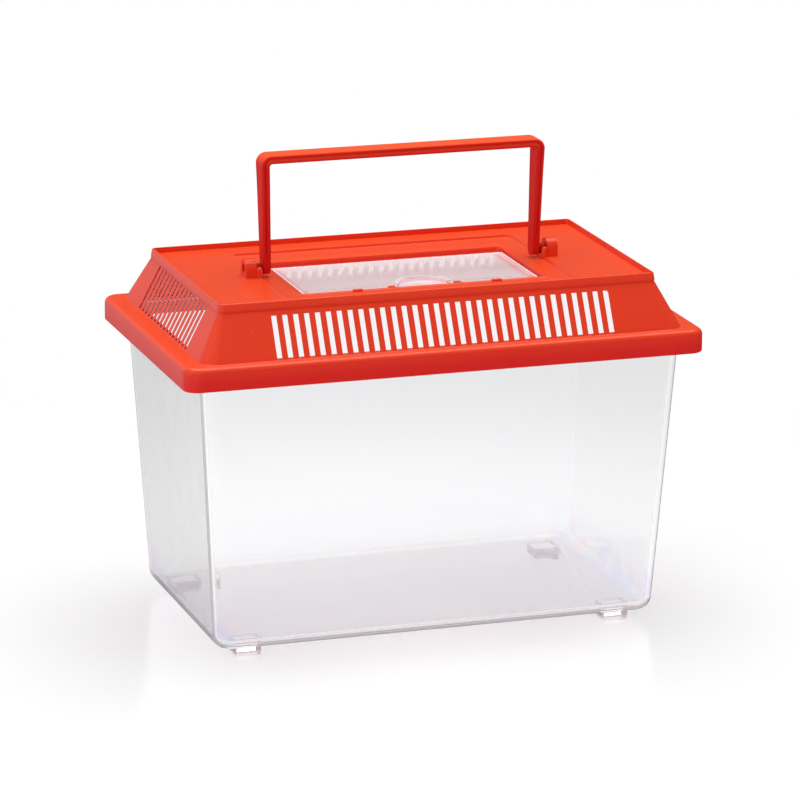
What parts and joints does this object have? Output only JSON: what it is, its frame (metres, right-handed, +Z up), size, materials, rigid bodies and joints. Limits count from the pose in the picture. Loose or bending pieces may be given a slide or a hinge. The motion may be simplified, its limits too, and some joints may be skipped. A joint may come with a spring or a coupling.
{
  "type": "plastic insect box",
  "caption": "Clear tapered plastic box with a red vented lift-off lid, a clear hinged feeding hatch in its top and a folding carry handle.",
  "frame": {"origin": "middle of the box's outline, at the level its feet stand on", "axes": "+X along the box to the right seen from the front, +Y from front to back, +Z up"},
  "size_m": [0.1878, 0.1104, 0.1677],
  "materials": {
    "clear_plastic": "clear gloss",
    "red_plastic": "gloss",
    "hatch_plastic": "clear gloss",
    "handle_plastic": "gloss"
  },
  "bodies": {
    "tank": {"tank": "clear_plastic"},
    "lid": {"lid": "red_plastic"},
    "feeding_hatch": {"feeding_hatch": "hatch_plastic"},
    "carry_handle": {"carry_handle": "handle_plastic"}
  },
  "joints": [
    {"name": "lid_lift", "type": "slide", "parent": "tank", "child": "lid", "axis": [0, 0, 1], "range_m": [0, 0.06]},
    {"name": "hatch_hinge", "type": "hinge", "parent": "lid", "child": "feeding_hatch", "pos_m": [0, 0.0172, 0.1209], "axis": [-1, 0, 0], "range_deg": [0, 95]},
    {"name": "handle_pivot", "type": "hinge", "parent": "lid", "child": "carry_handle", "pos_m": [0, 0, 0.1276], "axis": [1, 0, 0], "range_deg": [-85, 85]}
  ]
}
